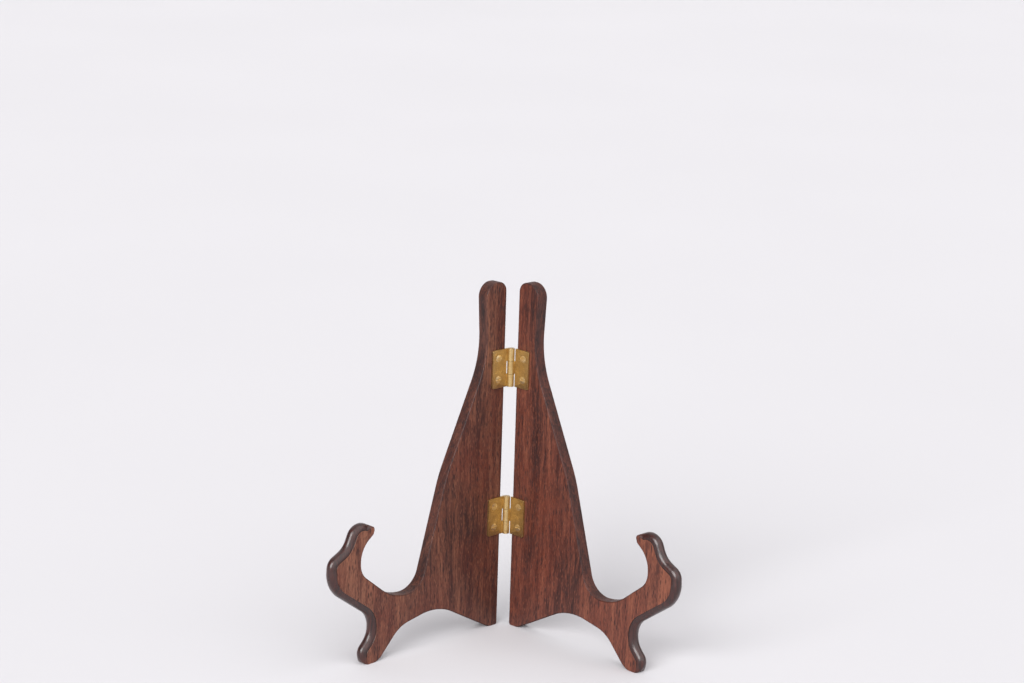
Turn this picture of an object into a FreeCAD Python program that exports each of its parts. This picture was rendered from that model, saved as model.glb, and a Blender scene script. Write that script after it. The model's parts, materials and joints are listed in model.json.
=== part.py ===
"""Folding plate display stand: two carved hardwood sides on two small brass butt hinges.

Frame: millimetres, +Z up, the plate faces -Y and +X is to its right. The origin lies on the table,
in the middle of the stand's footprint. Every sub-part is drawn in the frame of its side: the hinge
axis is Z, X runs forward along the board, and the board lies on one side of the XZ plane, at -Y for
the left side and at +Y for the right. The rest pose is the open stand, with each side turned
half_spread away from the middle.
"""
import FreeCAD, Part
import math
import os
import Sketcher

Vector = FreeCAD.Vector
UP = Vector(0, 0, 1)
SIDES = {"left": -1, "right": 1}            # the sign of a side's Y
HINGES = ("lower", "upper")
ORIGIN_POINT = (-1, 1)                      # a sketch's own origin, as constraints name it
TOUCH = 0.001                               # lengths this small count as nothing

# ---------------------------------------------------------------- driving dimensions

SIZES = {
    # where the sides stand
    "half_spread": 45.0,        # turn of each side away from the middle, in degrees
    "axis_back": 30.19,         # hinge axis behind the middle of the footprint
    # the wooden sides
    "thickness": 5.2,
    "face_gap": 1.5,            # inner face from the hinge axis
    "front_round": 2.2,         # moulded front edge, from the hook over the breast to the toe
    "ground_reach": 140.0,      # radius of the cut that levels the soles
    # the hinges, three knuckles each
    "hinge_height": 16.0,
    "lower_hinge_up": 40.0,     # bottom end of each hinge above the table
    "upper_hinge_up": 103.0,
    "leaf_reach": 9.4,          # leaf's far edge from the hinge axis
    "leaf_thick": 0.8,
    "leaf_corner": 0.8,
    "knuckle_radius": 1.5,
    "knuckle_gap": 0.1,
    "notch_reach": 1.75,        # leaf cut back beside the other leaf's knuckles
    "pin_radius": 0.75,
    "pin_clearance": 0.05,      # in the knuckle that turns on the pin
    # the countersunk screws, two in each leaf
    "screw_reach": 6.2,         # screw axis from the hinge axis
    "screw_inset": 3.6,         # screw axis from each end of its leaf
    "screw_head": 1.5,
    "screw_shank": 0.8,
    "shank_taper": 0.01,        # the shank is this much thinner at its point
    "screw_depth": 3.8,         # into the wood
    "screw_point": 1.2,
    "slot_width": 0.4,
    "slot_depth": 0.3,
}

# Corners of a side's outline: forward of the hinge axis, above the table, and the rounding radius.
OUTLINE = [
    ("hook_nose", 70.6, 56.6, 0.0),
    ("hook_crown", 79.9, 61.3, 6.2),
    ("neck", 84.7, 50.4, 8.0),
    ("shoulder", 92.9, 46.3, 5.5),
    ("breast", 92.8, 34.5, 13.0),
    ("instep", 71.7, 19.4, 9.0),
    ("ankle", 71.6, 11.3, 8.0),
    ("toe", 79.7, 2.55, 4.8),
    ("foot_point", 72.9, -0.62, 0.0),
    ("heel", 68.0, -0.1, 8.7),
    ("arch_front", 56.7, 12.0, 14.0),
    ("arch_rear", 36.0, 16.0, 26.0),
    ("rear_sole", 6.4, -0.4, 8.0),
    ("rear_heel", 2.0, -0.4, 1.3),
    ("head_rear", 2.0, 147.0, 4.2),
    ("head_front", 13.4, 147.0, 5.8),
    ("waist", 11.6, 116.0, 42.0),
    ("back_rest", 33.0, 70.0, 60.0),
    ("seat_rear", 46.0, 24.4, 10.0),
    ("seat_front", 61.0, 25.4, 21.0),
    ("notch_low", 77.8, 38.8, 8.0),
    ("notch_high", 77.8, 49.0, 11.0),
    ("hook_lip", 71.5, 53.9, 0.0),
]
FOOT_POINT = "foot_point"       # the moulded edge runs from the hook's nose to this corner

doc = FreeCAD.newDocument("plate_stand")
sheet = doc.addObject("Spreadsheet::Sheet", "Sizes")


def fill_sheet():
    """Write every driving dimension as a plain number with an alias."""
    rows = list(SIZES.items())
    for corner, forward, up, radius in OUTLINE:
        rows.append((corner + "_forward", forward))
        rows.append((corner + "_up", up))
        rows.append((corner + "_radius", radius))
    for number, (alias, value) in enumerate(rows, start=1):
        sheet.set(f"A{number}", alias)
        sheet.set(f"B{number}", str(value))
        sheet.setAlias(f"B{number}", alias)
    doc.recompute()


def bind(thing, **formulas):
    """Bind properties to formulas; a double underscore in a name stands for a dot."""
    for name, formula in formulas.items():
        path = name.replace("__", ".")
        thing.setExpression("." + path if "." in path else path, formula)


def place(thing, side):
    """Stand a sub-part on the hinge axis and turn its X axis forward along its side."""
    thing.Placement = FreeCAD.Placement(Vector(0, 0, 0), FreeCAD.Rotation(UP, 1))
    sign = "-" if side == "left" else "+"
    bind(thing, Placement__Base__y="Sizes.axis_back",
         Placement__Rotation__Angle=f"270 {sign} Sizes.half_spread")


# ---------------------------------------------------------------- the wooden sides


def corner_arc(before, corner, after, radius):
    """The arc that rounds a corner, with its ends in the outline's order."""
    to_before = (before - corner).normalize()
    to_after = (after - corner).normalize()
    half_angle = to_before.getAngle(to_after) / 2
    start = corner + to_before * (radius / math.tan(half_angle))
    end = corner + to_after * (radius / math.tan(half_angle))
    centre = corner + (to_before + to_after).normalize() * (radius / math.sin(half_angle))
    turns_left = to_before.cross(to_after).z < 0
    first, last = (start, end) if turns_left else (end, start)
    angles = [math.atan2(point.y - centre.y, point.x - centre.x) for point in (first, last)]
    arc = Part.ArcOfCircle(Part.Circle(centre, UP, radius), angles[0], angles[1])
    return arc, start, end, turns_left


def draw_outline(sketch):
    """Draw the rounded outline, held by the sheet, and return the curves of its moulded front."""
    points = [Vector(forward, up, 0) for _, forward, up, _ in OUTLINE]
    count = len(OUTLINE)
    starts, ends, arcs = [], [], {}
    for i, (_, _, _, radius) in enumerate(OUTLINE):
        start = end = points[i]
        if radius:
            following = points[(i + 1) % count]
            arc, start, end, turns_left = corner_arc(points[i - 1], points[i], following, radius)
            arcs[i] = (sketch.addGeometry(arc), turns_left)
        starts.append(start)
        ends.append(end)
    runs = []
    for i in range(count):
        run = Part.LineSegment(ends[i], starts[(i + 1) % count])
        runs.append(sketch.addGeometry(run))
    marks = {i: sketch.addGeometry(Part.Point(points[i]), True) for i in arcs}

    rules = []
    names = {}
    for i, (corner, forward, up, radius) in enumerate(OUTLINE):
        arriving, leaving = runs[i - 1], runs[i]
        held = (leaving, 1)
        if i in arcs:
            arc, turns_left = arcs[i]
            arc_start, arc_end = (1, 2) if turns_left else (2, 1)
            held = (marks[i], 1)
            rules.append(Sketcher.Constraint("Tangent", arriving, 2, arc, arc_start))
            rules.append(Sketcher.Constraint("Tangent", arc, arc_end, leaving, 1))
            rules.append(Sketcher.Constraint("PointOnObject", *held, arriving))
            rules.append(Sketcher.Constraint("PointOnObject", *held, leaving))
            names[len(rules)] = corner + "_radius"
            rules.append(Sketcher.Constraint("Radius", arc, radius))
        else:
            rules.append(Sketcher.Constraint("Coincident", arriving, 2, leaving, 1))
        names[len(rules)] = corner + "_forward"
        rules.append(Sketcher.Constraint("DistanceX", *ORIGIN_POINT, *held, forward))
        names[len(rules)] = corner + "_up"
        rules.append(Sketcher.Constraint("DistanceY", *ORIGIN_POINT, *held, up))
    sketch.addConstraint(rules)
    for index, name in names.items():
        sketch.renameConstraint(index, name)
        sketch.setExpression("Constraints." + name, "Sizes." + name)

    foot = [row[0] for row in OUTLINE].index(FOOT_POINT)
    front = runs[:foot] + [arcs[i][0] for i in arcs if i < foot]
    return [sketch.Geometry[index].toShape() for index in front]


def attached_sketch(body, name, role, offset):
    """A sketch on one of the body's own origin planes, moved along its normal by a formula."""
    sketch = body.newObject("Sketcher::SketchObject", name)
    plane = next(item for item in body.Origin.OriginFeatures if item.Role == role)
    sketch.AttachmentSupport = (plane, "")
    sketch.MapMode = "FlatFace"
    if offset:
        bind(sketch, AttachmentOffset__Base__z=offset)
    return sketch


def lies_on(edge, curves):
    """True where the middle of a solid's edge, seen along Y, lies on one of the outline's curves."""
    middle = edge.valueAt((edge.FirstParameter + edge.LastParameter) / 2)
    mark = Part.Vertex(middle.x, middle.z, 0)
    return any(mark.distToShape(curve)[0] < TOUCH for curve in curves)


def round_edges(body, name, curves, radius):
    """Round, on both faces of the board, the edges that follow these curves of the outline."""
    base = body.Tip
    edges = []
    for number, edge in enumerate(base.Shape.Edges, start=1):
        ends = [vertex.Point.y for vertex in edge.Vertexes]
        if abs(ends[0] - ends[-1]) < TOUCH and lies_on(edge, curves):
            edges.append(f"Edge{number}")
    rounding = body.newObject("PartDesign::Fillet", name)
    rounding.Base = (base, edges)
    bind(rounding, Radius=radius)
    doc.recompute()


def cut(body, kind, name, profile, **settings):
    """Add a pocket to a body and check that it takes wood away."""
    before = body.Shape.Volume
    pocket = body.newObject(kind, name)
    pocket.Profile = profile
    for setting, value in settings.items():
        setattr(pocket, setting, value)
    doc.recompute()
    if body.Shape.Volume > before - TOUCH:
        raise RuntimeError(name + " cuts nothing")
    return pocket


def level_soles(body, side):
    """Take the round soles off flat at the table."""
    ground = attached_sketch(body, side + "_ground", "XY_Plane", None)
    ground.addGeometry(Part.Circle(Vector(0, 0, 0), UP, 1))
    ground.addConstraint(Sketcher.Constraint("Coincident", 0, 3, *ORIGIN_POINT))
    ground.addConstraint(Sketcher.Constraint("Radius", 0, SIZES["ground_reach"]))
    ground.setExpression("Constraints[1]", "Sizes.ground_reach")
    doc.recompute()
    cut(body, "PartDesign::Pocket", side + "_soles", ground, Type="ThroughAll")


def drill_pilots(body, side, face_offset):
    """Drill the screws' pilot holes into the inner face."""
    pilots = attached_sketch(body, side + "_pilots", "XZ_Plane", face_offset)
    for hinge in HINGES:
        for level in screw_levels(hinge):
            circle = pilots.addGeometry(Part.Circle(Vector(1, 1, 0), UP, 1))
            held = {
                "Radius": ((circle,), "Sizes.screw_shank"),
                "DistanceX": ((*ORIGIN_POINT, circle, 3), "Sizes.screw_reach"),
                "DistanceY": ((*ORIGIN_POINT, circle, 3), level),
            }
            for kind, (place_of, formula) in held.items():
                number = pilots.addConstraint(Sketcher.Constraint(kind, *place_of, 1.0))
                pilots.setExpression(f"Constraints[{number}]", formula)
    doc.recompute()
    holes = cut(body, "PartDesign::Pocket", side + "_pilot_holes", pilots,
                Reversed=side == "left", Length=SIZES["screw_depth"])
    bind(holes, Length="Sizes.screw_depth")


def make_side(side):
    """One board: padded outline, level soles, moulded front edge, pilot holes."""
    body = doc.addObject("PartDesign::Body", side + "_side")
    face_offset = f"{-SIDES[side]} * Sizes.face_gap"        # the XZ plane's normal is -Y
    outline = attached_sketch(body, side + "_outline", "XZ_Plane", face_offset)
    moulded = draw_outline(outline)
    board = body.newObject("PartDesign::Pad", side + "_board")
    board.Profile = outline
    board.Reversed = side == "right"
    bind(board, Length="Sizes.thickness")
    doc.recompute()
    round_edges(body, side + "_moulding", moulded, "Sizes.front_round")
    level_soles(body, side)
    drill_pilots(body, side, face_offset)
    return finished(body, side + "_side", side)


# ---------------------------------------------------------------- the hinges and their screws


def screw_levels(hinge):
    """Formulas of the heights of a leaf's two screws."""
    start = f"Sizes.{hinge}_hinge_up"
    return [start + " + Sizes.screw_inset", start + " + Sizes.hinge_height - Sizes.screw_inset"]


def box(name, x, y, z, length, width, height):
    """A Part box whose corner and size are formulas."""
    thing = doc.addObject("Part::Box", name)
    bind(thing, Placement__Base__x=x, Placement__Base__y=y, Placement__Base__z=z,
         Length=length, Width=width, Height=height)
    return thing


def rod(name, z, radius, height):
    """A Part cylinder on the hinge axis whose foot and size are formulas."""
    thing = doc.addObject("Part::Cylinder", name)
    bind(thing, Placement__Base__z=z, Radius=radius, Height=height)
    return thing


def turned(name, side, reach, depth, level, near, far, height):
    """A Part cone that runs outward from a depth beside the hinge plane, into a side's board."""
    outward = SIDES[side]
    thing = doc.addObject("Part::Cone", name)
    tilt = FreeCAD.Rotation(Vector(1, 0, 0), -90 * outward)
    thing.Placement = FreeCAD.Placement(Vector(0, 0, 0), tilt)
    bind(thing, Placement__Base__x=reach, Placement__Base__y=f"{outward} * ({depth})",
         Placement__Base__z=level, Radius1=near, Radius2=far, Height=height)
    return thing


def fused(name, things):
    """The union of several things."""
    union = doc.addObject("Part::MultiFuse", name)
    union.Shapes = things
    return union


def cut_away(name, base, tool):
    """A base with a tool taken away."""
    rest = doc.addObject("Part::Cut", name)
    rest.Base = base
    rest.Tool = tool
    return rest


def make_leaf(hinge, side):
    """A hinge leaf: a plate with two countersinks, and the two outer knuckles or the middle one."""
    node = f"{hinge}_hinge_{side}_leaf"
    start = f"Sizes.{hinge}_hinge_up"
    third = "Sizes.hinge_height / 3"
    gap = "Sizes.knuckle_gap"
    inner = "(Sizes.knuckle_radius - Sizes.leaf_thick)"
    near = inner if side == "right" else "-Sizes.knuckle_radius"
    plate = box(node + "_plate", "0", near, start,
                "Sizes.leaf_reach", "Sizes.leaf_thick", "Sizes.hinge_height")
    middle = (f"{start} + {third}", third)
    ends = [(start, third), (f"{start} + 2 * {third}", third)]
    kept, given_up = (ends, [middle]) if side == "left" else ([middle], ends)

    knuckles = [rod(f"{node}_knuckle_{i}", f"{foot} + {gap} / 2", "Sizes.knuckle_radius", f"{tall} - {gap}")
                for i, (foot, tall) in enumerate(kept)]
    blank = fused(node + "_blank", [plate] + knuckles)
    bore_radius = "Sizes.pin_radius" if side == "left" else "Sizes.pin_radius + Sizes.pin_clearance"
    tools = [rod(node + "_bore", start, bore_radius, "Sizes.hinge_height")]
    for i, (foot, tall) in enumerate(given_up):
        tools.append(box(f"{node}_notch_{i}", "-Sizes.knuckle_radius", "-2 * Sizes.knuckle_radius",
                         f"{foot} - {gap} / 2", "Sizes.knuckle_radius + Sizes.notch_reach",
                         "4 * Sizes.knuckle_radius", f"{tall} + {gap}"))
    for i, level in enumerate(screw_levels(hinge)):
        tools.append(turned(f"{node}_sink_{i}", side, "Sizes.screw_reach", inner, level,
                            "Sizes.screw_head", "Sizes.screw_shank", "Sizes.leaf_thick"))
    leaf = cut_away(node + "_cut", blank, fused(node + "_tools", tools))
    doc.recompute()

    rounded = doc.addObject("Part::Fillet", node)
    rounded.Base = leaf
    far = SIZES["leaf_reach"] - TOUCH
    corners = [number for number, edge in enumerate(leaf.Shape.Edges, start=1)
               if edge.BoundBox.XMin > far and edge.BoundBox.ZLength < TOUCH]
    rounded.Edges = [(number, SIZES["leaf_corner"], SIZES["leaf_corner"]) for number in corners]
    return finished(rounded, node, side)


def make_pin(hinge):
    """A hinge's pin, held in the left leaf's knuckles."""
    node = hinge + "_hinge_pin"
    pin = rod(node, "0", "Sizes.pin_radius", "Sizes.hinge_height")
    finished(pin, node, "left")
    bind(pin, Placement__Base__z=f"Sizes.{hinge}_hinge_up")
    return pin


def make_screws(hinge, side):
    """The two countersunk wood screws of a leaf, with slotted heads, as one group."""
    node = f"{hinge}_hinge_{side}_screws"
    inner = "Sizes.knuckle_radius - Sizes.leaf_thick"
    face = "Sizes.face_gap"
    body_length = "Sizes.screw_depth - Sizes.screw_point"
    thin_end = "Sizes.screw_shank - Sizes.shank_taper"
    centre = "Sizes.slot_depth / 2"
    screws = []
    for i, level in enumerate(screw_levels(hinge)):
        reach = "Sizes.screw_reach"
        head = turned(f"{node}_head_{i}", side, reach, inner, level,
                      "Sizes.screw_head", "Sizes.screw_shank", "Sizes.leaf_thick")
        shank = turned(f"{node}_shank_{i}", side, reach, face, level,
                       "Sizes.screw_shank", thin_end, body_length)
        point = turned(f"{node}_point_{i}", side, reach, f"{face} + {body_length}", level,
                       thin_end, "0", "Sizes.screw_point")
        whole = fused(f"{node}_whole_{i}", [head, shank, point])
        slot = box(f"{node}_slot_{i}", "Sizes.screw_reach - Sizes.screw_head",
                   f"{SIDES[side]} * ({inner} + {centre}) - {centre}",
                   f"{level} - Sizes.slot_width / 2",
                   "2 * Sizes.screw_head", "Sizes.slot_depth", "Sizes.slot_width")
        screws.append(cut_away(f"{node}_screw_{i}", whole, slot))
    group = doc.addObject("Part::Compound", node)
    group.Links = screws
    return finished(group, node, side)


# ---------------------------------------------------------------- the document and its files


def finished(thing, node, side):
    """Name a finished sub-part and stand it in its place."""
    thing.Label = node
    place(thing, side)
    doc.recompute()
    return thing


def check_document(sub_parts):
    """Stop if any object failed or any sub-part is empty or invalid."""
    for thing in doc.Objects:
        if {"Invalid", "Error"} & set(thing.State):
            raise RuntimeError(f"{thing.Label} failed: {thing.State}")
    for thing in sub_parts:
        if thing.Shape.isNull() or not thing.Shape.isValid():
            raise RuntimeError(f"{thing.Label} has no valid shape")


def export(sub_parts):
    """Write each sub-part's solids to a file of its own."""
    os.makedirs("parts", exist_ok=True)
    for thing in sub_parts:
        thing.Shape.exportStep(f"parts/{thing.Label}.step")
        box_of = thing.Shape.BoundBox
        print(f"{thing.Label:28s} {len(thing.Shape.Solids)} solid(s) {thing.Shape.Volume:9.1f} mm3",
              [round(value, 2) for value in (box_of.XMin, box_of.XMax, box_of.YMin, box_of.YMax,
                                             box_of.ZMin, box_of.ZMax)])


def main():
    """Build every sub-part, check it and write it."""
    fill_sheet()
    sub_parts = [make_side(side) for side in SIDES]
    for hinge in HINGES:
        sub_parts += [make_leaf(hinge, side) for side in SIDES]
        sub_parts.append(make_pin(hinge))
        sub_parts += [make_screws(hinge, side) for side in SIDES]
    doc.recompute()
    check_document(sub_parts)
    export(sub_parts)
    whole = Part.makeCompound([thing.Shape for thing in sub_parts]).BoundBox
    print("whole", [round(value, 3) for value in (whole.XMin, whole.XMax, whole.YMin, whole.YMax,
                                                 whole.ZMin, whole.ZMax)])


main()
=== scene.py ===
import json
import math

import bmesh
import bpy
import numpy as np
from mathutils import Matrix, Vector


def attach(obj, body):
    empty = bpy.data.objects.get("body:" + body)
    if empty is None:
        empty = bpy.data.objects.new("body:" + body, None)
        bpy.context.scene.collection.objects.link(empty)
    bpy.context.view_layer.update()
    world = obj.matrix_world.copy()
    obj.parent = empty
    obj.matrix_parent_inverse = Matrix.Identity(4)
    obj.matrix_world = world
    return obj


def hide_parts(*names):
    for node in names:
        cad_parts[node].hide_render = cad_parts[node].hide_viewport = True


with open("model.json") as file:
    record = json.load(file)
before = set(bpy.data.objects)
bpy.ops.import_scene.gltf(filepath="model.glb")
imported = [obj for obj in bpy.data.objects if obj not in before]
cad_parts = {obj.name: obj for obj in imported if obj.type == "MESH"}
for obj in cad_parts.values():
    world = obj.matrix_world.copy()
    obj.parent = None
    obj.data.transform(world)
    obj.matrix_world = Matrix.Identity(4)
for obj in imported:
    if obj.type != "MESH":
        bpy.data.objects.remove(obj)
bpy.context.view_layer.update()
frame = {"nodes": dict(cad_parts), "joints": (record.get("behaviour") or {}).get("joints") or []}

MM = 0.001                                  # metres in a millimetre, the unit of the shape below

# ---------------------------------------------------------------- the stand's driving dimensions

HINGE_AXIS = Vector(frame["joints"][0]["pos_m"]) * Vector((1, 1, 0))
BOARD_TURN = {"left": math.radians(225), "right": math.radians(315)}   # a board's forward direction
BOARD_SIDE = {"left": -1, "right": 1}       # the side of the hinge axis that the board lies on
FACE_GAP = 1.5                              # inner face from the hinge axis
THICKNESS = 5.2

# Corners of a board's outline, clockwise: forward of the hinge axis, above the table, rounding radius.
OUTLINE = [
    ("hook_nose", 70.6, 56.6, 1.5),
    ("hook_crown", 79.9, 61.3, 6.2),
    ("neck", 84.7, 50.4, 8.0),
    ("shoulder", 92.9, 46.3, 5.5),
    ("breast", 92.8, 34.5, 13.0),
    ("instep", 71.7, 19.4, 9.0),
    ("ankle", 71.6, 11.3, 8.0),
    ("toe", 79.7, 2.55, 4.8),
    ("foot_point", 72.9, -0.62, 2.0),       # below the table: the sole is cut flat afterwards
    ("heel", 68.0, -0.1, 8.7),
    ("arch_front", 56.7, 12.0, 14.0),
    ("arch_rear", 36.0, 16.0, 26.0),
    ("rear_sole", 6.4, -0.4, 8.0),
    ("rear_heel", 2.0, -0.4, 1.3),
    ("head_rear", 2.0, 147.0, 4.2),
    ("head_front", 13.4, 147.0, 5.8),
    ("waist", 11.6, 116.0, 42.0),
    ("back_rest", 33.0, 70.0, 60.0),
    ("seat_rear", 46.0, 24.4, 10.0),
    ("seat_front", 61.0, 25.4, 21.0),
    ("notch_low", 77.8, 38.8, 8.0),
    ("notch_high", 77.8, 49.0, 11.0),
    ("hook_lip", 71.5, 53.9, 2.0),
]
# The places where the moulded edge begins, is full, is still full and has run out, each a corner and a
# share of its arc. The second list is the same for the stretch where hands have worn the step down.
MOULD_FADES = [("hook_nose", 1.0), ("hook_crown", 0.0), ("toe", 0.5), ("foot_point", 0.6)]
SOFT_FADES = [("shoulder", 1.0), ("breast", 0.0), ("breast", 1.0), ("instep", 0.0)]
MOULD_WIDTH = 2.6                           # moulded edge, seen on the face
MOULD_DEPTH = 2.45                          # and across the thickness, from each face
MOULD_STEP = 0.38                           # the face stands this far above the moulding
SOFT_STEP = 0.12                            # but only this far where the step is worn
STEP_SLOPE = 0.25                           # the step leans outwards by this share of its height
MOULD_FLATNESS = 2.1                        # 2 is a quarter round, 1 would be a plain chamfer
MOULD_WANDER = 0.06                         # unevenness of the hand-cut width, as a share
WANDER_WAVES = 4                            # waves that the unevenness is made of
EASED_RADIUS = 0.45                         # all other edges, rubbed down with sandpaper
ARRIS_RIM = 0.3                             # strip of the face along the moulding, over which the arris's painted highlight fades out
EASED_RIM = 0.03                            # and along an eased edge
SOFT_CREASE_SHADE = 0.3                           # share of the crease's painted shade that stays under a worn step
EDGE_STEPS = 11                             # facets across a rounded edge
ARC_STEP = 0.5                              # longest facet along an arc
ARC_FACETS = 9                              # but at least this many in a radian of it
RUN_STEP = 1.6                              # longest facet along a straight run
FADE_STEP = 0.35                            # and where the moulding fades
FADE_RUNS = ("hook_nose", "toe", "foot_point")              # the runs after these corners
BOARD_SHARP = math.radians(42)              # edges sharper than this stay sharp in the shading
BRASS_SHARP = math.radians(30)
HINGE_BEVEL = 0.1 * MM
SCREW_BEVEL = 0.05 * MM


# ---------------------------------------------------------------- shape of the wooden boards

def direction(start, end):
    return (end - start) / np.linalg.norm(end - start)


def inward(heading):
    """The normal that points into the board, to the right of a clockwise heading."""
    return np.array([heading[1], -heading[0]])


def turned(vector, angle):
    c, s = math.cos(angle), math.sin(angle)
    return np.array([c * vector[0] - s * vector[1], s * vector[0] + c * vector[1]])


def corner_samples(before, corner, after, radius, name):
    """Points round one rounded corner as (point, inward normal, name)."""
    heading, leaving = direction(before, corner), direction(corner, after)
    turn = math.atan2(heading[0] * leaving[1] - heading[1] * leaving[0], heading @ leaving)
    start = corner - heading * radius * math.tan(abs(turn) / 2)
    bend = math.copysign(radius, -turn)     # positive where the outline bulges
    centre = start + inward(heading) * bend
    steps = max(3, math.ceil(abs(turn) * max(radius / ARC_STEP, ARC_FACETS)))
    samples = []
    for step in range(steps + 1):
        normal = turned(inward(heading), turn * step / steps)
        samples.append((centre - normal * bend, normal, name))
    return samples


def outline_samples():
    """The whole outline as (point, inward normal, corner name), with the straight runs divided."""
    corners = [np.array(corner[1:3]) for corner in OUTLINE]
    count = len(OUTLINE)
    arcs = []
    for i, (name, _, _, radius) in enumerate(OUTLINE):
        arcs.append(corner_samples(corners[i - 1], corners[i], corners[(i + 1) % count], radius, name))
    samples = []
    for arc, following in zip(arcs, arcs[1:] + arcs[:1]):
        samples += arc
        point, normal, name = arc[-1]
        gap = following[0][0] - point
        step = FADE_STEP if name in FADE_RUNS else RUN_STEP
        parts = int(np.linalg.norm(gap) / step) + 1
        samples += [(point + gap * part / parts, normal, "") for part in range(1, parts)]
    return samples


def way_along(samples):
    """Distance of every sample from the first, along the outline."""
    points = np.array([point for point, _, _ in samples])
    steps = np.linalg.norm(np.diff(points, axis=0), axis=1)
    return np.concatenate([[0.0], np.cumsum(steps)])


def share_between(samples, way, fades):
    """1 from the second to the third of four places, 0 outside the others, with a smooth change."""
    stations = []
    for corner, part in fades:
        arc = [where for where, (_, _, name) in zip(way, samples) if name == corner]
        stations.append(arc[0] + (arc[-1] - arc[0]) * part)
    share = np.interp(way, stations, [0, 1, 1, 0])
    return share * share * (3 - 2 * share)


def edge_profile(share, width, step):
    """(inset from the outline, depth below the face) across one rounded edge, from the face."""
    rim = EASED_RIM + (ARRIS_RIM - EASED_RIM) * share
    foot = width - step * STEP_SLOPE
    exponent = 2 / MOULD_FLATNESS
    fall = MOULD_DEPTH - step
    profile = []
    for k in range(EDGE_STEPS + 1):
        angle = math.radians(90) * k / EDGE_STEPS
        eased = np.array([1 - math.sin(angle), 1 - math.cos(angle)]) * EASED_RADIUS
        moulded = np.array([width, 0])
        if k:
            angle = math.radians(90) * (k - 1) / (EDGE_STEPS - 1)
            across, down = math.sin(angle) ** exponent, math.cos(angle) ** exponent
            moulded = np.array([foot * (1 - across), step + fall * (1 - down)])
        profile.append(eased * (1 - share) + moulded * share)
    return [profile[0] + np.array([rim, 0])] + profile


def edge_rows(rng):
    """Each outline sample's (forward, up, depth) points across one edge, how moulded, how crisp."""
    samples = outline_samples()
    way = way_along(samples)
    shares = share_between(samples, way, MOULD_FADES)
    crispness = 1 - share_between(samples, way, SOFT_FADES)
    wander = np.zeros(len(way))
    for _ in range(WANDER_WAVES):
        size, pace, phase = rng.uniform(0.1, 0.25), rng.uniform(0.05, 0.4), rng.uniform(0, 2 * math.pi)
        wander += size * np.sin(way * pace + phase)
    rows = []
    for (point, normal, _), share, crisp, uneven in zip(samples, shares, crispness, wander):
        step = SOFT_STEP + (MOULD_STEP - SOFT_STEP) * crisp
        profile = edge_profile(share, MOULD_WIDTH * (1 + MOULD_WANDER * uneven), step)
        rows.append([(*(point + normal * inset), depth) for inset, depth in profile])
    return np.array(rows), shares, crispness


def board_mesh(side, seed):
    """A board in the frame of the whole stand, in metres: two flat faces joined by a shaped edge."""
    rows, shares, crispness = edge_rows(np.random.default_rng(seed))
    far_rows = rows[:, ::-1].copy()
    far_rows[:, :, 2] = THICKNESS - far_rows[:, :, 2]
    rows = np.concatenate([rows, far_rows], axis=1)
    rings = rows.shape[1]

    bm = bmesh.new()
    masks = {name: bm.verts.layers.float.new(name) for name in ("moulded", "crease_shade", "arris_highlight", "edge")}
    grid = []
    for row, share, crisp in zip(rows, shares, crispness):
        line = []
        for k, (forward, up, depth) in enumerate(row):
            vert = bm.verts.new((forward, BOARD_SIDE[side] * (FACE_GAP + depth), up))
            step = min(k, rings - 1 - k)
            vert[masks["moulded"]] = share * (step > 1)
            # painted shade in the crease at the foot of the step, weaker where the step is worn
            vert[masks["crease_shade"]] = share * (SOFT_CREASE_SHADE + (1 - SOFT_CREASE_SHADE) * crisp) * (step == 2)
            # painted highlight on the ring at the top of the step, only where the step is crisp
            vert[masks["arris_highlight"]] = share * crisp * (step == 1)
            vert[masks["edge"]] = float(step > 1)
            line.append(vert)
        grid.append(line)
    for here, there in zip(grid, grid[1:] + grid[:1]):
        for k in range(rings - 1):
            bm.faces.new((here[k], there[k], there[k + 1], here[k + 1]))
    bm.faces.new([line[0] for line in grid])
    bm.faces.new([line[-1] for line in grid])
    bm.normal_update()
    bmesh.ops.triangulate(bm, faces=[face for face in bm.faces if len(face.verts) > 4])
    cut_soles(bm)
    bmesh.ops.recalc_face_normals(bm, faces=bm.faces)
    to_stand = Matrix.Translation(HINGE_AXIS) @ Matrix.Rotation(BOARD_TURN[side], 4, "Z")
    bm.transform(to_stand @ Matrix.Scale(MM, 4))
    mesh = bpy.data.meshes.new(side + "_board")
    bm.to_mesh(mesh)
    bm.free()
    return mesh


def cut_soles(bm):
    """Cuts the board flat at the table and closes the two soles."""
    parts = list(bm.verts) + list(bm.edges) + list(bm.faces)
    bmesh.ops.bisect_plane(bm, geom=parts, plane_co=(0, 0, 0), plane_no=(0, 0, 1),
                           clear_inner=True, dist=1e-5)
    rim = [edge for edge in bm.edges if edge.is_boundary]
    bmesh.ops.holes_fill(bm, edges=rim, sides=0)


def soft_edged(piece, sharp_above, bevel=0.0):
    """Smooth shading that keeps flat faces flat and, with a bevel, takes the bite off sharp edges."""
    piece.data.shade_smooth()
    if bevel:
        weld = piece.modifiers.new("weld", "WELD")
        weld.merge_threshold = 1e-6
        softening = piece.modifiers.new("bevel", "BEVEL")
        softening.width = bevel
        softening.segments = 2
        softening.limit_method = "ANGLE"
        softening.angle_limit = sharp_above
    else:
        piece.data.set_sharp_from_angle(angle=sharp_above)
    normals = piece.modifiers.new("normals", "WEIGHTED_NORMAL")
    normals.keep_sharp = True


def make_board(side, seed, material):
    piece = bpy.data.objects.new(side + "_board", board_mesh(side, seed))
    bpy.context.scene.collection.objects.link(piece)
    piece.data.materials.append(material)
    soft_edged(piece, BOARD_SHARP)
    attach(piece, side)
    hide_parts(side + "_side")
    return piece


# ---------------------------------------------------------------- building blocks of the materials

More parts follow.
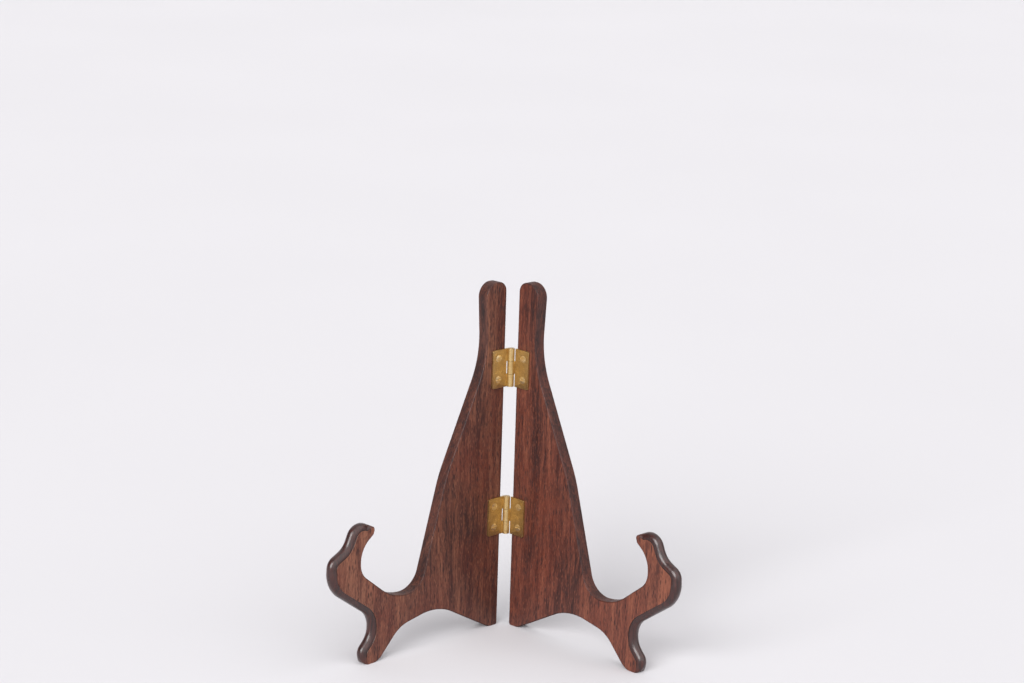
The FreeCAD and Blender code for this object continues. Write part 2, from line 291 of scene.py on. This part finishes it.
def add(tree, kind, inputs=None, **settings):
    """A shader node with its settings and its inputs, each a value or another node's output."""
    node = tree.nodes.new("ShaderNode" + kind)
    for name, value in settings.items():
        setattr(node, name, value)
    for name, value in (inputs or {}).items():
        if isinstance(value, bpy.types.NodeSocket):
            tree.links.new(value, node.inputs[name])
        else:
            node.inputs[name].default_value = value
    return node


def calculate(tree, operation, first, second):
    return add(tree, "Math", {0: first, 1: second}, operation=operation).outputs[0]


def remap(tree, value, low, high, new_low=0.0, new_high=1.0):
    """value from low..high, clamped, to new_low..new_high."""
    inputs = {"Value": value, "From Min": low, "From Max": high, "To Min": new_low, "To Max": new_high}
    return add(tree, "MapRange", inputs).outputs["Result"]


def blend(tree, share, first, second, mode="MIX"):
    """first where share is 0, second where it is 1."""
    node = add(tree, "Mix", {0: share, 6: first, 7: second}, data_type="RGBA", blend_type=mode)
    return node.outputs[2]


def ramp(tree, value, *stops):
    """Colours at places from 0 to 1."""
    node = add(tree, "ValToRGB", {"Fac": value})
    elements = node.color_ramp.elements
    while len(elements) < len(stops):
        elements.new(0.5)
    for element, (place, colour) in zip(elements, stops):
        element.position = place
        element.color = colour
    return node.outputs["Color"]


def stretched(tree, place, x, y, z):
    """Coordinates scaled by x, y and z."""
    return add(tree, "Mapping", {"Vector": place, "Scale": (x, y, z)}).outputs["Vector"]


def noise(tree, place, scale, detail=2.0, roughness=0.5):
    inputs = {"Vector": place, "Scale": scale, "Detail": detail, "Roughness": roughness}
    return add(tree, "TexNoise", inputs).outputs["Fac"]


def mask(tree, name):
    """A mask that was stored on the mesh's points."""
    return add(tree, "Attribute", attribute_name=name).outputs["Fac"]


def linear(red, green, blue):
    return (red, green, blue, 1.0)


def new_material(name):
    """(material, its empty node tree, its surface shader)."""
    material = bpy.data.materials.new(name)
    material.use_nodes = True
    tree = material.node_tree
    tree.nodes.clear()
    shader = add(tree, "BsdfPrincipled")
    add(tree, "OutputMaterial", {"Surface": shader.outputs[0]})
    return material, tree, shader


def plug(tree, shader, **sources):
    """Links outputs to the shader's inputs, named with _ for a space."""
    for name, source in sources.items():
        tree.links.new(source, shader.inputs[name.replace("_", " ")])


# ---------------------------------------------------------------- rosewood

WOODS = {                                   # shift moves the grain, so that the boards differ
    "left": {"shift": (0, 0, 0), "light": linear(0.225, 0.088, 0.050),
             "middle": linear(0.112, 0.037, 0.022), "dark": linear(0.034, 0.010, 0.008)},
    "right": {"shift": (311, 57, 83), "light": linear(0.205, 0.066, 0.036),
              "middle": linear(0.108, 0.030, 0.018), "dark": linear(0.033, 0.009, 0.007)},
}
RED_PATCH = linear(0.130, 0.027, 0.014)
PORE = linear(0.015, 0.005, 0.005)
# darker cut edges: partly the wood's own edge tone, partly painted shade of edges turned away from the
# light
EDGE_GRAIN_AND_SHADE = linear(0.55, 0.48, 0.48)
STAIN_DARK = linear(0.011, 0.0020, 0.0018)
STAIN_LIGHT = linear(0.038, 0.0065, 0.0045)
# nearly black painted shade for the crease at the foot of the moulding's step
CREASE_SHADE = linear(0.010, 0.004, 0.004)

def board_place(tree, side):
    """Millimetres in the board's own frame: X forward, Z up along the grain."""
    where = add(tree, "TexCoord").outputs["Object"]
    inputs = {"Vector": where, "Location": HINGE_AXIS, "Rotation": (0, 0, BOARD_TURN[side]),
              "Scale": (MM, MM, MM)}
    return add(tree, "Mapping", inputs, vector_type="TEXTURE").outputs["Vector"]


def pores(tree, place, across, along, low, high):
    """Short open pores that run with the grain: 1 inside, 0 outside."""
    cells = add(tree, "TexVoronoi", {"Vector": stretched(tree, place, across, across, along), "Scale": 1.0},
                feature="F1").outputs["Distance"]
    return remap(tree, cells, low, high, 1.0, 0.0)


def grain_place(tree, side, shift):
    """(place in the board, the same place pushed sideways a little, so that the grain wanders)."""
    place = add(tree, "VectorMath", {0: board_place(tree, side), 1: shift}, operation="ADD").outputs[0]
    drift = add(tree, "TexNoise", {"Vector": stretched(tree, place, 0.05, 0.05, 0.02), "Scale": 1.0})
    inputs = {0: drift.outputs["Color"], 1: (6.0, 6.0, 0.0), 2: place}
    return place, add(tree, "VectorMath", inputs, operation="MULTIPLY_ADD").outputs[0]


def clear_of_plate_shadow(tree, side):
    """1 at the front of the board, falling to 0 towards the hinge, where the painted shadow of the plate is
    darkest.
    """
    forward = add(tree, "SeparateXYZ", {0: board_place(tree, side)}).outputs["X"]
    return remap(tree, forward, 35.0, 86.0)


def grain(tree, side, place, wandering, wood):
    """(colour of the bare wood, its streaks, its fibres), all running with the grain."""
    bands = noise(tree, stretched(tree, wandering, 0.30, 0.30, 0.012), 1.0, 5.0, 0.62)
    streaks = noise(tree, stretched(tree, wandering, 1.3, 1.3, 0.10), 1.0, 5.0, 0.65)
    fibres = noise(tree, stretched(tree, wandering, 3.6, 3.6, 0.42), 1.0, 3.0, 0.6)
    patches = noise(tree, stretched(tree, place, 0.05, 0.05, 0.035), 1.0, 3.0)
    tone = calculate(tree, "ADD", calculate(tree, "MULTIPLY", bands, 0.52),
                     calculate(tree, "MULTIPLY", streaks, 0.48))
    # painted shadow of the plate: the tone is darker towards the hinge and a little lighter at the front
    tone = calculate(tree, "ADD", tone, remap(tree, clear_of_plate_shadow(tree, side), 0.0, 1.0, -0.045, 0.03))
    colour = ramp(tree, tone, (0.38, wood["dark"]), (0.49, wood["middle"]), (0.62, wood["light"]))
    colour = blend(tree, remap(tree, patches, 0.42, 0.66, 0.0, 0.45), colour, RED_PATCH)
    shade = remap(tree, fibres, 0.3, 0.7, 0.70, 1.20)
    return blend(tree, 1.0, colour, shade, "MULTIPLY"), streaks, fibres


def dashes(tree, wandering, colour, light):
    """(colour with light flecks and dark pores, where the pores are)."""
    beside = add(tree, "VectorMath", {0: wandering, 1: (7.3, 3.1, 11.9)}, operation="ADD").outputs[0]
    flecks = pores(tree, beside, 1.5, 0.33, 0.12, 0.30)
    colour = blend(tree, calculate(tree, "MULTIPLY", flecks, 0.55), colour, light)
    long_pores = pores(tree, wandering, 1.0, 0.19, 0.15, 0.29)
    fine_pores = pores(tree, wandering, 2.1, 0.40, 0.16, 0.36)
    pore = calculate(tree, "MAXIMUM", long_pores, calculate(tree, "MULTIPLY", fine_pores, 0.6))
    return blend(tree, calculate(tree, "MULTIPLY", pore, 0.85), colour, PORE), pore


def edge_colours(tree, colour, streaks, moulded, light):
    """Darker edges, partly their own tone and partly painted shade, a stained moulding with a nearly black
    painted shade in its crease, and a painted highlight on the arris.
    """
    # edges multiplied darker: partly their own tone, partly painted shade
    colour = blend(tree, mask(tree, "edge"), colour, EDGE_GRAIN_AND_SHADE, "MULTIPLY")
    stain = blend(tree, remap(tree, streaks, 0.40, 0.62), STAIN_DARK, STAIN_LIGHT)
    colour = blend(tree, calculate(tree, "MULTIPLY", moulded, 0.9), colour, stain)
    # painted shade in the crease under the step
    colour = blend(tree, calculate(tree, "MULTIPLY", mask(tree, "crease_shade"), 0.75), colour, CREASE_SHADE)
    # painted highlight along the arris, lightened towards the wood's light tone
    return blend(tree, calculate(tree, "MULTIPLY", mask(tree, "arris_highlight"), 0.25), colour, light)


def wood_roughness(tree, place, moulded, pore):
    """Satin faces, a glossier moulding, dull pores."""
    satin = remap(tree, noise(tree, place, 0.35, 3.0), 0.3, 0.7, 0.46, 0.60)
    gloss = remap(tree, noise(tree, place, 0.9, 3.0), 0.3, 0.7, 0.27, 0.40)
    rough = add(tree, "Mix", {0: moulded, 2: satin, 3: gloss}).outputs[0]
    return calculate(tree, "ADD", rough, calculate(tree, "MULTIPLY", pore, 0.16))


def wood_relief(tree, place, fibres, pore):
    """Raised fibres and sunken pores on a surface that was carved by hand."""
    height = calculate(tree, "SUBTRACT", calculate(tree, "MULTIPLY", fibres, 0.12),
                       calculate(tree, "MULTIPLY", pore, 0.55))
    fine = add(tree, "Bump", {"Height": height, "Strength": 0.6, "Distance": 0.12 * MM}).outputs[0]
    inputs = {"Height": noise(tree, place, 0.30, 1.0), "Strength": 0.5, "Distance": 0.4 * MM,
              "Normal": fine}
    return add(tree, "Bump", inputs).outputs[0]


def rosewood(side):
    """Oiled rosewood: streaks and pores along the grain, a darker and glossier moulded edge."""
    material, tree, shader = new_material("rosewood_" + side)
    wood = WOODS[side]
    place, wandering = grain_place(tree, side, wood["shift"])
    moulded = mask(tree, "moulded")
    colour, streaks, fibres = grain(tree, side, place, wandering, wood)
    colour, pore = dashes(tree, wandering, colour, wood["light"])
    colour = edge_colours(tree, colour, streaks, moulded, wood["light"])
    plug(tree, shader, Base_Color=colour, Roughness=wood_roughness(tree, place, moulded, pore),
         Normal=wood_relief(tree, place, fibres, pore),
         Coat_Weight=remap(tree, moulded, 0.0, 1.0, 0.05, 0.6))
    shader.inputs["Specular IOR Level"].default_value = 0.35
    shader.inputs["Coat Roughness"].default_value = 0.28
    return material


# ---------------------------------------------------------------- brass

def brass(name, bright, tarnished, grain):
    """Lacquered brass gone dull: brushed grain, cloudy tarnish and dark specks."""
    material, tree, shader = new_material(name)
    where = add(tree, "TexCoord").outputs["Object"]
    place = add(tree, "VectorMath", {0: where, 3: 1 / MM}, operation="SCALE").outputs[0]
    clouds = noise(tree, place, 0.45, 4.0, 0.6)
    specks = noise(tree, place, 3.2, 3.0, 0.7)
    brushed = noise(tree, stretched(tree, place, 9.0, 9.0, grain), 1.0, 2.0)
    colour = blend(tree, remap(tree, clouds, 0.38, 0.66), bright, tarnished)
    colour = blend(tree, remap(tree, specks, 0.60, 0.74, 0.0, 0.5), colour, linear(0.14, 0.080, 0.032))
    rough = calculate(tree, "ADD", remap(tree, clouds, 0.35, 0.7, 0.28, 0.46),
                      remap(tree, brushed, 0.3, 0.7, -0.05, 0.07))
    height = calculate(tree, "ADD", brushed, calculate(tree, "MULTIPLY", specks, -0.8))
    relief = add(tree, "Bump", {"Height": height, "Strength": 0.35, "Distance": 0.03 * MM}).outputs[0]
    plug(tree, shader, Base_Color=colour, Roughness=rough, Normal=relief)
    shader.inputs["Metallic"].default_value = 1.0
    return material


def dress_node(name, material, bevel):
    """Gives a CAD node its material and takes the bite off its sharp edges."""
    node = frame["nodes"][name]
    node.data.materials.clear()
    node.data.materials.append(material)
    soft_edged(node, BRASS_SHARP, bevel)


# ---------------------------------------------------------------- studio

FLOOR_REACH = 14.0                          # metres from the middle to an edge of the sheet
# name, azimuth, elevation, how wide the light looks, all in degrees, and power
SOFT_SUNS = [
    ("key_light", -30, 26, 40, 3.5),
    ("fill_light", 45, 35, 90, 2.3),
    ("back_light", 175, 50, 100, 1.0),
]
SKY_COLOUR = linear(0.98, 0.96, 1.0)
SKY_STRENGTH = 0.24


def backdrop_material():
    material, tree, shader = new_material("backdrop")
    where = add(tree, "TexCoord").outputs["Object"]
    cloud = noise(tree, where, 3.0, 3.0)
    colour = blend(tree, cloud, linear(0.620, 0.608, 0.628), linear(0.645, 0.633, 0.653))
    rough = remap(tree, cloud, 0.3, 0.7, 0.75, 0.9)
    plug(tree, shader, Base_Color=colour, Roughness=rough)
    shader.inputs["Specular IOR Level"].default_value = 0.2
    return material


def make_floor():
    """A wide pale sheet under the stand."""
    mesh = bpy.data.meshes.new("floor")
    near, far = -FLOOR_REACH, FLOOR_REACH
    mesh.from_pydata([(near, near, 0), (far, near, 0), (far, far, 0), (near, far, 0)],
                     [], [(0, 1, 2, 3)])
    floor = bpy.data.objects.new("floor", mesh)
    bpy.context.scene.collection.objects.link(floor)
    mesh.materials.append(backdrop_material())


def soft_sun(name, azimuth, elevation, spread, power):
    """A soft light far away; azimuth 0 is in front and 90 to the viewer's right."""
    a, e = math.radians(azimuth), math.radians(elevation)
    light = bpy.data.lights.new(name, "SUN")
    light.angle = math.radians(spread)
    light.energy = power
    lamp = bpy.data.objects.new(name, light)
    lamp.location = Vector((math.sin(a) * math.cos(e), -math.cos(a) * math.cos(e), math.sin(e)))
    lamp.rotation_mode = "QUATERNION"
    lamp.rotation_quaternion = lamp.location.to_track_quat("Z", "Y")
    bpy.context.scene.collection.objects.link(lamp)


def light_studio():
    for light in SOFT_SUNS:
        soft_sun(*light)
    world = bpy.data.worlds.new("studio")
    world.use_nodes = True
    background = world.node_tree.nodes["Background"]
    background.inputs["Color"].default_value = SKY_COLOUR
    background.inputs["Strength"].default_value = SKY_STRENGTH
    bpy.context.scene.world = world
    bpy.context.scene.view_settings.view_transform = "Standard"


CAMERA_TARGET = Vector((0.0002, -0.0014, 0.1294))   # middle of the plate's place
CAMERA_ELEVATION = math.radians(13.5)
CAMERA_DISTANCE = 0.9
CAMERA_ROLL = math.radians(1.8)
CAMERA_LENS = 80.5


def make_camera():
    """A view from the front, a little above, with the photographer's slight tilt."""
    data = bpy.data.cameras.new("camera")
    data.lens = CAMERA_LENS
    data.clip_start, data.clip_end = 0.05, 50
    camera = bpy.data.objects.new("camera", data)
    back = Vector((0, -math.cos(CAMERA_ELEVATION), math.sin(CAMERA_ELEVATION)))
    looking = Matrix.Rotation(math.radians(90) - CAMERA_ELEVATION, 4, "X")
    camera.matrix_world = (Matrix.Translation(CAMERA_TARGET + back * CAMERA_DISTANCE) @ looking
                           @ Matrix.Rotation(CAMERA_ROLL, 4, "Z"))
    bpy.context.scene.collection.objects.link(camera)
    bpy.context.scene.camera = camera


# ---------------------------------------------------------------- the scene

for board_side, wander_seed in (("left", 11), ("right", 23)):
    make_board(board_side, wander_seed, rosewood(board_side))

HINGE_BRASS = brass("hinge_brass", linear(0.64, 0.46, 0.21), linear(0.47, 0.31, 0.13), 0.6)
SCREW_BRASS = brass("screw_brass", linear(0.86, 0.70, 0.42), linear(0.62, 0.47, 0.26), 5.0)
for node_name in sorted(frame["nodes"]):
    if node_name.endswith("_screws"):
        dress_node(node_name, SCREW_BRASS, SCREW_BEVEL)
    elif node_name.endswith(("_leaf", "_pin")):
        dress_node(node_name, HINGE_BRASS, HINGE_BEVEL)

make_floor()
light_studio()
make_camera()
